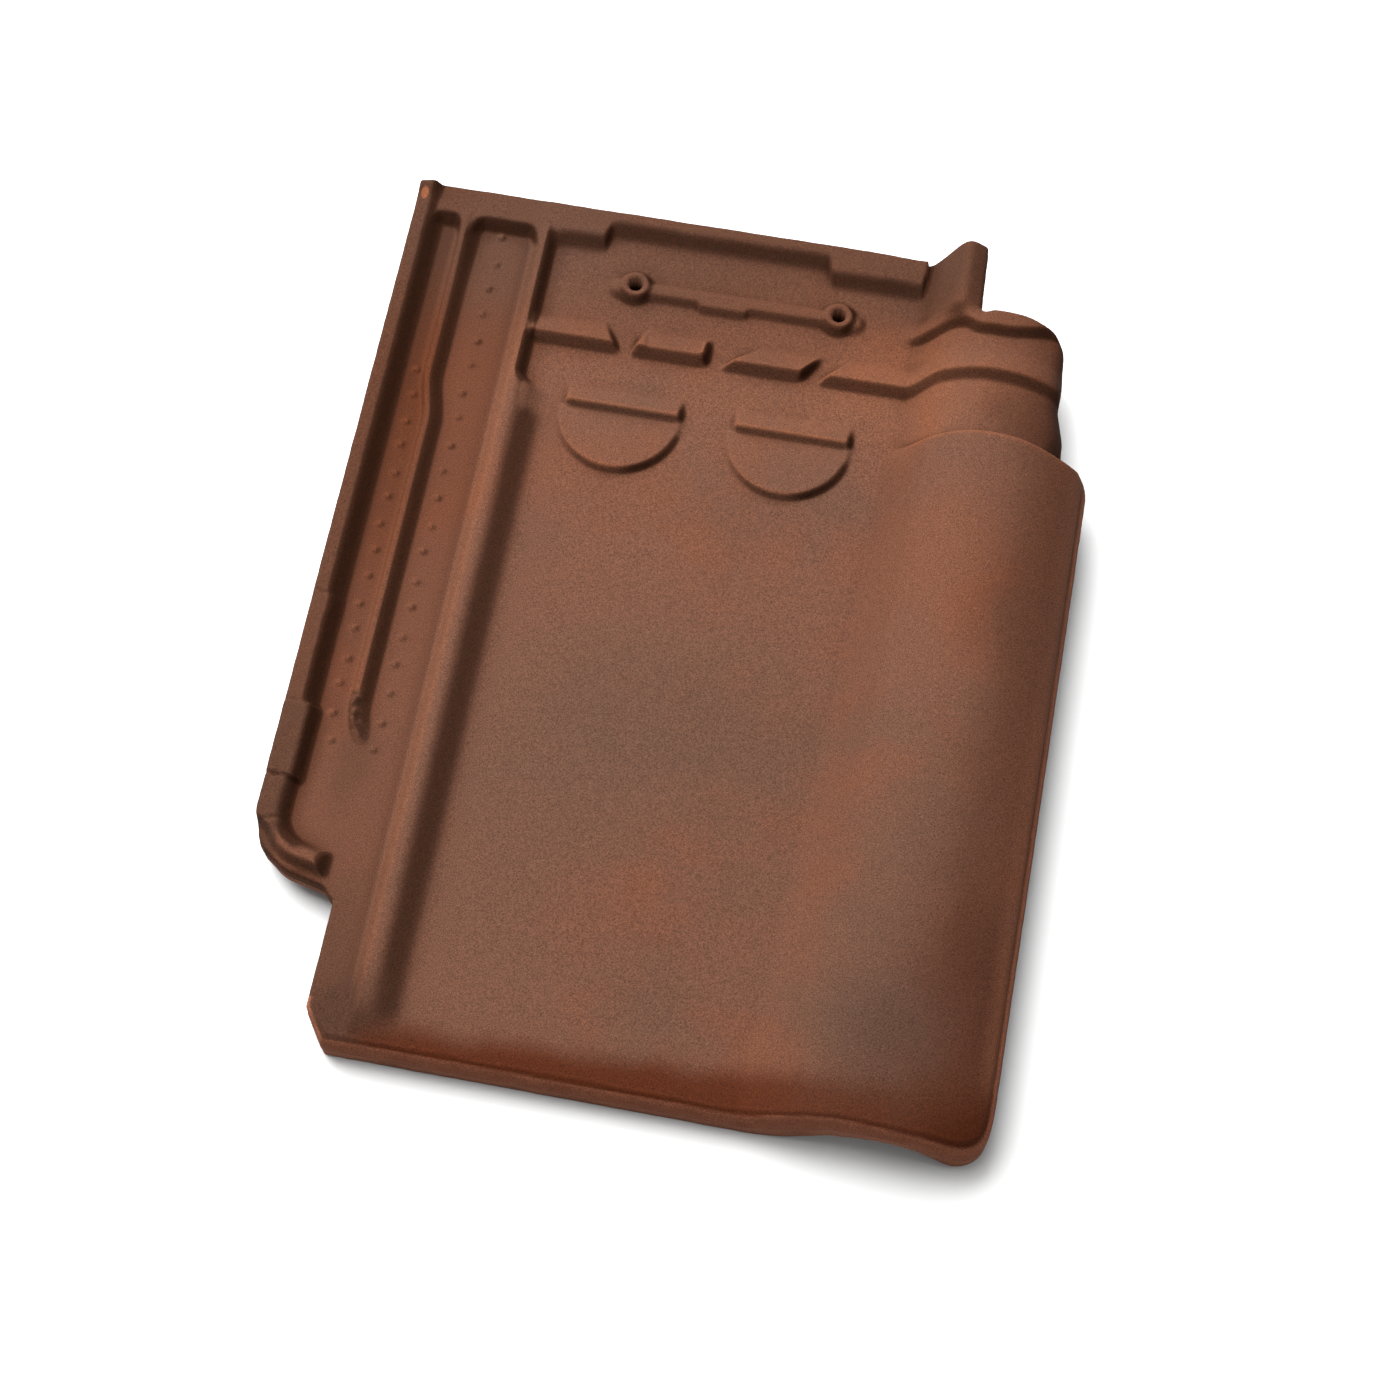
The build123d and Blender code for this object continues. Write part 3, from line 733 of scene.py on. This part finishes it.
def tileArrays(field, body, normals):
    # order of points: top rim, top holes, top inside, wall rings, bottom rim, bottom holes, bottom inside
    rimCount, sides = len(body), mesh["holeSides"]
    holes = [circle(place, nails["hole"]) for place in nails["places"]]
    border = np.vstack([body] + holes)
    loops = [(0, rimCount), (rimCount, rimCount + sides), (rimCount + sides, rimCount + 2 * sides)]
    topCells = keptCells(field, field.top, mesh["topTolerance"])
    lowCells = keptCells(field, field.bottom, mesh["bottomTolerance"])
    topFlat = np.vstack([border, np.column_stack([field.x[topCells], field.y[topCells]])])
    lowFlat = np.vstack([border, np.column_stack([field.x[lowCells], field.y[lowCells]])])

    rimTop = topHeight(*body.T) - edgeRadius(*body.T) - edgeLedge(*body.T, np.zeros(rimCount))
    rimLow = bottomHeight(*body.T) + tile["rimRound"]
    rimTop = np.maximum(rimTop, rimLow + rim["thinnest"])
    holeFlat = np.vstack(holes)
    topZ = np.r_[rimTop, topHeight(*holeFlat.T), field.top[topCells]]
    lowZ = np.r_[rimLow, bottomHeight(*holeFlat.T), field.bottom[lowCells]]
    rings = []
    for level, bulge, _ in rim["rings"]:
        spot = body + normals * (tile["wallFlash"] * bulge)
        rings.append(np.column_stack([spot, mix(rimLow, rimTop, level)]))
    points = np.vstack([np.column_stack([topFlat, topZ])] + rings + [np.column_stack([lowFlat, lowZ])])

    starts = [0] + [len(topFlat) + index * rimCount for index in range(len(rings) + 1)]
    lowStart = starts[-1]
    faces = [triangulate(topFlat, loops), triangulate(lowFlat, loops)[:, ::-1] + lowStart]
    for upper, lower in zip(starts, starts[1:]):
        faces += strip(upper, lower, rimCount)
    for first, _ in loops[1:]:
        faces += strip(first, lowStart + first, sides)
    triangles = np.vstack(faces)
    print("tile mesh", len(points), "points", len(triangles), "triangles")
    return SimpleNamespace(
        points=points, triangles=triangles, border=border, topCells=topCells, lowCount=len(lowFlat)
    )


# blur widths in cells, and where each effect of the finish, painted shade and highlight among them, is
# weaker
marks = {
    "fineBlur": 4, "wideBlur": 14, "slopeBlur": 2, "coveredSide": -70, "crownFrom": -93,
    "lipRun": (0.9, 1.7), "lipNose": -168, "lipSide": 0.9, "lipSideFrom": 130, "lipSideTo": 86,
    "lipWall": (-172, -166), "hollowRoll": 0.6, "hollowRollRun": (25, 40),
    "tornEdge": (-136, -133), "tornFrom": (-126, -116), "tornTo": (-60, -50),
    "knobWidth": 3.0, "knobFrom": (-62, -58), "knobTo": (-48, -44),
    "litShare": 0.85, "litSlope": (0.02, 0.25),
    "noseLow": 110, "noseLowShare": 0.32, "noseRoll": 0.3, "noseRollRun": (70, 90), "noseStop": -150,
    "panStop": 60, "ribSide": -84, "headShare": 0.55, "headRun": (82, 90), "neckShare": 0.22, "neckPast": 2,
}


def finishMarks(field, body, arrays):
    # shares of each effect, kept on the points of the mesh; several of them place painted shade and painted
    # highlight
    x, y, raw = field.x, field.y, field.raw
    # below the blurred surface the cavity feeds painted shade in creases, partly darker slip; above it, a
    # painted highlight on crowns
    cavity = field.top - boxBlur(raw, marks["fineBlur"])
    wide = raw - boxBlur(raw, marks["wideBlur"])
    slopeY, slopeX = np.gradient(boxBlur(raw, marks["slopeBlur"]), mesh["step"])
    rimCells = tuple(
        np.clip(np.round((arrays.border[:, axis] - start) / mesh["step"]).astype(int), 0, size - 1)
        for axis, start, size in ((1, noseY, len(y)), (0, leftX, len(x[0])))
    )
    ringCount, rimCount = len(rim["rings"]), len(body)

    def onPoints(grid, walls=0.0, below=0.0):
        wallValues = np.broadcast_to(walls, ringCount * rimCount)
        return np.r_[grid[rimCells], grid[arrays.topCells], wallValues, np.full(arrays.lowCount, below)]

    torn = fall(x, *marks["tornEdge"]) * span(y, marks["tornFrom"], marks["tornTo"])
    knob = groove(x - middleRibX(y), marks["knobWidth"])
    torn = np.maximum(torn, knob * span(y, marks["knobFrom"], marks["knobTo"]))
    lipSide = marks["lipSide"] * (x > marks["lipSideFrom"]) * (y < marks["lipSideTo"])
    lip = fall(field.distance, *marks["lipRun"]) * np.where(y < marks["lipNose"], 1.0, lipSide)
    lipWall = np.tile(fall(body[:, 1], *marks["lipWall"]), ringCount)
    bareWall = np.repeat([bare for _, _, bare in rim["rings"]], rimCount)
    covered = x < marks["coveredSide"]
    # painted shade in creases and wide hollows is weaker on covered-side flanks that face the key light
    shaded = 1 - marks["litShare"] * rise(slopeX, *marks["litSlope"]) * covered
    onRoll = 1 - marks["hollowRoll"] * rise(x, *marks["hollowRollRun"])
    # where painted shade on walls facing the nose is weaker: below the head zone and on the neck, and none
    # near the nose
    upper = 1.0 - marks["noseRoll"] * rise(x, *marks["noseRollRun"])
    towardsNose = np.where(y < marks["noseLow"], marks["noseLowShare"], upper)
    towardsNose = towardsNose * (y > marks["noseStop"])
    # where painted shade on faces turned right is weaker: towards the head of the pan and on the neck
    inPan = 1.0 - marks["headShare"] * rise(y, *marks["headRun"]) * (x > marks["ribSide"])
    onNeck = marks["neckShare"] * (y > shoulderY + marks["neckPast"])
    beside = np.where(x < marks["panStop"], inPan, onNeck)
    return {
        # painted shade: creases, wide hollows and faces turned right or to the nose; painted highlight:
        # faces turned left and crowns; wide hollows also take red
        "crease": onPoints(np.clip(-cavity, 0, 2) * shaded),
        "crownHighlight": onPoints(np.clip(cavity, 0, 2) * (x > marks["crownFrom"])),
        "hollowRedAndShade": onPoints(np.clip(-wide, 0, 4) * shaded * onRoll),
        "litFaceLeft": onPoints(np.clip(slopeX, 0, 3) * covered),
        "shadedFaceRight": onPoints(np.clip(-slopeX, 0, 3) * beside),
        "shadedFaceNose": onPoints(np.clip(slopeY, 0, 3) * towardsNose),
        "lip": onPoints(lip, lipWall),
        "torn": onPoints(torn),
        "rawClay": onPoints(np.zeros_like(raw), bareWall, 1.0),
    }


def placed(name, data):
    made = bpy.data.objects.new(name, data)
    bpy.context.collection.objects.link(made)
    return made


def buildTile():
    body, normals = wornRim()
    field = heightFields(body)
    arrays = tileArrays(field, body, normals)
    triangles = arrays.triangles
    data = bpy.data.meshes.new("roofTile")
    data.vertices.add(len(arrays.points))
    data.vertices.foreach_set("co", (arrays.points * mm).ravel())
    data.loops.add(triangles.size)
    data.loops.foreach_set("vertex_index", triangles.ravel().astype("int32"))
    data.polygons.add(len(triangles))
    data.polygons.foreach_set("loop_start", np.arange(0, triangles.size, 3, dtype="int32"))
    data.update(calc_edges=True)
    data.polygons.foreach_set("use_smooth", np.ones(len(triangles), dtype=bool))
    for name, values in finishMarks(field, body, arrays).items():
        attribute = data.attributes.new(name, "FLOAT", "POINT")
        attribute.data.foreach_set("value", values.astype("float32"))
    return placed("roof_tile_clay", data)


# shader maths: a wrapped socket takes part in plain expressions
class Wire:
    def __init__(self, tree, socket=None):
        self.tree = tree
        self.socket = socket

    def node(self, kind, settings=None, sockets=None, out=0):
        made = self.tree.nodes.new(kind)
        for name, value in (settings or {}).items():
            setattr(made, name, value)
        for name, value in (sockets or {}).items():
            if isinstance(value, Wire):
                self.tree.links.new(value.socket, made.inputs[name])
            else:
                made.inputs[name].default_value = value
        return Wire(self.tree, made.outputs[out])

    def maths(self, operation, a, b=0.0):
        return self.node("ShaderNodeMath", {"operation": operation}, {0: a, 1: b})

    def __add__(self, other):
        return self.maths("ADD", self, other)

    def __sub__(self, other):
        return self.maths("SUBTRACT", self, other)

    def __rsub__(self, other):
        return self.maths("SUBTRACT", other, self)

    def __mul__(self, other):
        return self.maths("MULTIPLY", self, other)

    def __truediv__(self, other):
        return self.maths("DIVIDE", self, other)

    def __rtruediv__(self, other):
        return self.maths("DIVIDE", other, self)

    __radd__ = __add__
    __rmul__ = __mul__

    def kept(self):
        return self.node("ShaderNodeClamp", None, {"Value": self})

    def between(self, start, stop):
        spread = {"From Min": start, "From Max": stop, "Value": self}
        return self.node("ShaderNodeMapRange", {"interpolation_type": "SMOOTHSTEP"}, spread)

    def vector(self, operation, sockets):
        return self.node("ShaderNodeVectorMath", {"operation": operation}, {0: self, **sockets})

    def tint(self, colour, share):
        # this colour moved towards another by a share
        target = colour if isinstance(colour, Wire) else (*colour, 1)
        return self.node("ShaderNodeMix", {"data_type": "RGBA"}, {0: share, 6: self, 7: target}, 2)


clay = {
    "brown": (0.0625, 0.0264, 0.0156), "red": (0.075, 0.0252, 0.0124), "grey": (0.0450, 0.0238, 0.0160),
    "orange": (0.112, 0.0370, 0.0155), "dark": (0.0125, 0.0040, 0.0016), "burnt": (0.034, 0.0066, 0.0014),
    "slip": (0.033, 0.0142, 0.0082), "rust": (0.044, 0.0124, 0.0046), "lip": (0.142, 0.0515, 0.0290),
    "terracotta": (0.15, 0.062, 0.036), "roughness": 0.76, "specular": 0.03,
    "drift": 0.030, "bump": 0.35, "bumpDepth": 0.0006,
}

# clouds and stains on the clay, and one patch of painted shade: x and y in millimetres, reach along each,
# strength
stainAndShadePatches = {
    "greyPan": (0, -30, 60, 32, 0.42), "greyLeft": (-40, -90, 50, 60, 0.40),
    "greyRollHead": (112, 75, 26, 22, 0.40), "redPan": (-5, -118, 34, 18, 0.24),
    "redRoll": (98, 45, 26, 30, 0.42), "redMoon": (-55, 60, 30, 20, 0.35),
    "orangeNeck": (60, 122, 64, 28, 0.36), "greyHead": (-88, 158, 50, 28, 0.36),
    # the dark patch on the neck is painted shade on its steep right flank, not a stain
    "slipTab": (80, 172, 14, 16, 0.7), "neckFlankShade": (114, 111, 14, 12, 0.40),
    "burntCorner": (121, -150, 18, 30, 0.86), "slipChannel": (-118, -76, 9, 14, 0.45),
    "slipRib": (-103, -156, 12, 32, 0.60), "slipNose": (-97, -171, 15, 8, 0.65),
    "greyRollNose": (97, -143, 31, 21, 0.90), "slipRollNose": (104, -150, 24, 20, 0.52),
}


def firedClay():
    material = bpy.data.materials.new("firedClay")
    material.use_nodes = True
    tree = material.node_tree
    shader = tree.nodes["Principled BSDF"]
    start = Wire(tree)
    place = start.node("ShaderNodeTexCoord", out="Object")

    def mark(name):
        return start.node("ShaderNodeAttribute", {"attribute_name": name}, out="Fac")

    def noise(scale, detail=2.0, roughness=0.5, at=place, out="Fac"):
        sockets = {"Vector": at, "Scale": scale, "Detail": detail, "Roughness": roughness}
        return start.node("ShaderNodeTexNoise", {"noise_dimensions": "3D"}, sockets, out)

    def plain(name):
        colour = start.node("ShaderNodeRGB")
        colour.socket.default_value = (*clay[name], 1)
        return colour

    def millimetres(vector, axis):
        return start.node("ShaderNodeSeparateXYZ", None, {0: vector}, axis) * (1 / mm)

    # places with wandering edges for the clouds, and plain ones
    drift = noise(22.0, out="Color").vector("SUBTRACT", {1: (0.5, 0.5, 0.5)})
    cloudy = place.vector("ADD", {1: drift.vector("SCALE", {"Scale": clay["drift"]})})
    x, y = millimetres(cloudy, "X"), millimetres(cloudy, "Y")
    plainX, plainY = millimetres(place, "X"), millimetres(place, "Y")
    toCovered, toNose = 0 - plainX, 0 - plainY

    def stainAndShadePatch(name):
        px, py, rx, ry, strength = stainAndShadePatches[name]
        u, v = (x - px) / rx, (y - py) / ry
        reach = u * u + v * v
        return 1 / (1 + reach * reach) * strength

    clouds, uneven = noise(16.0, 3.0, 0.55, cloudy), noise(120.0)
    crease, hollowRedAndShade = mark("crease"), mark("hollowRedAndShade")
    streak = (plainX - 72.0 - plainY * 0.065) / 8  # along the foot of the roll
    streak = streak * streak
    flange, outer, upper = toCovered.between(91, 99), toCovered.between(114, 124), y.between(-80, 110)
    towardsHead = y - x * 0.1
    sideShade = (x + (clouds - 0.5) * 12).between(104, 128) * (1 - 0.9 * plainX.between(134, 141))
    sideShade = sideShade * y.between(130, 70) * (0.36 + 0.44 * y.between(-70, -150))
    # share of painted shade on walls facing the nose, more at the head rim
    noseWallShadeShare = 0.56 + 0.34 * plainY.between(156, 164)
    scorched = toNose + (clouds - 0.5) * 20 + plainX * 0.02 + plainX.between(60, 110) * 3
    scorched = scorched.between(166, 178) * (1 - 0.75 * toCovered.between(84, 100))
    chipX, chipY = (plainX + 141.6) / 1.6, (plainY - 178.0) / 3.2
    chip = chipX * chipX + chipY * chipY + uneven

    layers = (
        # sprayed slip: red and grey clouds on the brown
        ("red", clouds.between(0.48, 0.68) * 0.60),
        ("grey", noise(13.0, 3.0).between(0.47, 0.70) * 0.60),
        ("grey", (stainAndShadePatch("greyPan") + stainAndShadePatch("greyLeft") + stainAndShadePatch("greyRollHead")).kept()),
        ("red", (stainAndShadePatch("redPan") + stainAndShadePatch("redRoll") + stainAndShadePatch("redMoon")).kept()),
        ("red", 1 / (1 + streak * streak) * 0.14 * clouds),
        # orange painted highlight on faces turned to the covered side, towards the key light, and on
        # crowns, where it is partly rubbed slip
        ("orange", (mark("litFaceLeft").between(0.15, 1.0) * (0.06 + 0.26 * uneven)).kept()),
        ("orange", (mark("crownHighlight").between(0.15, 1.0) * (0.10 + 0.5 * uneven)).kept()),
        ("red", hollowRedAndShade.between(0.1, 2.5) * 0.55),
        # rust-red channels, their own colour and partly painted shade from the ribs beside them, and a
        # duller head and covered edge
        ("rust", flange * (0.28 + 0.36 * upper) + outer * upper * 0.40),
        ("rust", towardsHead.between(95, 150) * 0.34),
        ("orange", stainAndShadePatch("orangeNeck") * clouds.between(0.25, 0.60)),
        ("slip", towardsHead.between(112, 180) * 0.70),
        ("slip", toCovered.between(133, 136) * 0.62),
        ("grey", stainAndShadePatch("greyHead")),
        ("slip", stainAndShadePatch("slipTab")),
        # red covering side and a burnt corner; painted shade over the covering side, on the neck's steep
        # flank, in wide hollows, on faces turned right or to the nose and in creases, partly darker slip on
        # walls and in creases
        ("red", plainX.between(104, 138) * 0.40),
        ("dark", sideShade),
        ("dark", stainAndShadePatch("neckFlankShade")),
        ("burnt", stainAndShadePatch("burntCorner")),
        ("dark", (hollowRedAndShade.between(0.05, 1.8) * 0.42).kept()),
        ("dark", (mark("shadedFaceRight").between(0.02, 0.36) * 0.88).kept()),
        ("dark", (mark("shadedFaceNose").between(0.04, 0.60) * noseWallShadeShare).kept()),
        ("dark", (crease.between(0.10, 1.0) * 0.48).kept()),
        # scorched nose, torn clay, lighter lip and a chipped corner
        ("burnt", scorched * 0.90),
        ("slip", (stainAndShadePatch("slipChannel") + stainAndShadePatch("slipRib") + stainAndShadePatch("slipNose")).kept()),
        ("grey", stainAndShadePatch("greyRollNose")),
        ("slip", stainAndShadePatch("slipRollNose")),
        ("slip", mark("torn") * (0.5 + 0.4 * uneven)),
        ("lip", mark("lip") * (0.55 + 0.5 * uneven).kept()),
        ("orange", (1 - chip.between(0.8, 1.6)) * 0.85),
    )
    colour = plain("brown")
    for name, share in layers:
        colour = colour.tint(clay[name], share)

    # bare clay under and along the lower edge
    bare = plain("terracotta").tint(clay["red"], noise(60.0, 3.0).between(0.40, 0.75) * 0.5)
    rawClay = mark("rawClay") + (noise(90.0, 2.0) - 0.5) * 0.5
    colour = colour.tint(bare, rawClay.between(0.35, 0.75) * 0.85)

    # fine grain of the fired surface
    fine = noise(2100.0, 2.0, 0.6)
    coarse = noise(420.0, 2.0, 0.55)
    speckle = 1 + (fine - 0.5) * 2.3 + (coarse - 0.5) * 0.16
    colour = colour.vector("SCALE", {"Scale": speckle})
    tree.links.new(colour.socket, shader.inputs["Base Color"])
    gloss = clay["roughness"] + (coarse - 0.5) * 0.2 + crease.between(0.1, 1.0) * 0.2
    tree.links.new(gloss.kept().socket, shader.inputs["Roughness"])
    shader.inputs["Specular IOR Level"].default_value = clay["specular"]
    height = fine * 0.6 + coarse * 0.7 + noise(160.0, 2.0) * 0.5
    sockets = {"Height": height, "Strength": clay["bump"], "Distance": clay["bumpDepth"]}
    bump = start.node("ShaderNodeBump", None, sockets, "Normal")
    tree.links.new(bump.socket, shader.inputs["Normal"])
    return material


roofTile = buildTile()
roofTile.data.materials.append(firedClay())
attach(roofTile, "root")
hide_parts("roof_tile")
print("tile placed")

# pale floor and soft studio light from the head, over the covered side
studio = {
    "floorSize": 8.0, "floorColour": (0.46, 0.46, 0.46), "floorRoughness": 0.9, "floorSpecular": 0.1,
    "air": 0.52,
    # place in metres, size and power of each light
    "lights": {
        "keyLight": ((-0.90, 1.00, 1.45), 2.4, 162.0),
        "topLight": ((-0.45, 0.25, 2.1), 1.4, 55.0),
        "fillLight": ((1.30, -0.20, 0.90), 1.2, 4.5),
    },
}


def buildFloor():
    half = studio["floorSize"] / 2
    corners = [(-half, -half, 0), (half, -half, 0), (half, half, 0), (-half, half, 0)]
    data = bpy.data.meshes.new("studioFloor")
    data.from_pydata(corners, [], [(0, 1, 2, 3)])
    material = bpy.data.materials.new("paleFloor")
    material.use_nodes = True
    surface = material.node_tree.nodes["Principled BSDF"]
    surface.inputs["Base Color"].default_value = (*studio["floorColour"], 1)
    surface.inputs["Roughness"].default_value = studio["floorRoughness"]
    surface.inputs["Specular IOR Level"].default_value = studio["floorSpecular"]
    data.materials.append(material)
    floor = placed("studioFloor", data)


def aim(place, target):
    forward = np.array(target, dtype=float) - np.array(place, dtype=float)
    forward = forward / np.linalg.norm(forward)
    side = np.cross(forward, (0, 0, 1))
    side = side / np.linalg.norm(side)
    up = np.cross(side, forward)
    return Matrix([[side[k], up[k], -forward[k], place[k]] for k in range(3)] + [[0, 0, 0, 1]])


def buildLight(name, place, size, power):
    lamp = bpy.data.lights.new(name, "AREA")
    lamp.shape = "DISK"
    lamp.size = size
    lamp.energy = power
    placed(name, lamp).matrix_world = aim(place, (0, 0, 0))


buildFloor()
for lightName, lightValues in studio["lights"].items():
    buildLight(lightName, *lightValues)
world = bpy.data.worlds.new("studioAir")
world.use_nodes = True
background = world.node_tree.nodes["Background"]
background.inputs["Color"].default_value = (1, 1, 1, 1)
background.inputs["Strength"].default_value = studio["air"]
bpy.context.scene.world = world
bpy.context.scene.view_settings.view_transform = "Standard"
print("studio ready")

# camera at the photograph's viewing angle, for a square frame
view = {
    "elevation": 65.59, "azimuth": 10.39, "distance": 1.1699, "target": (0.0093, -0.0164, 0.0),
    "lens": 77.143, "sensor": 36.0, "nearest": 0.05,
}


def buildCamera():
    elevation, azimuth = math.radians(view["elevation"]), math.radians(view["azimuth"])
    level = math.cos(elevation)
    away = (math.sin(azimuth) * level, -math.cos(azimuth) * level, math.sin(elevation))
    place = [t + view["distance"] * a for t, a in zip(view["target"], away)]
    camera = bpy.data.cameras.new("viewCamera")
    camera.sensor_width = view["sensor"]
    camera.lens = view["lens"]
    camera.clip_start = view["nearest"]
    cameraObject = placed("viewCamera", camera)
    cameraObject.matrix_world = aim(place, view["target"])
    bpy.context.scene.camera = cameraObject


buildCamera()
print("camera set")
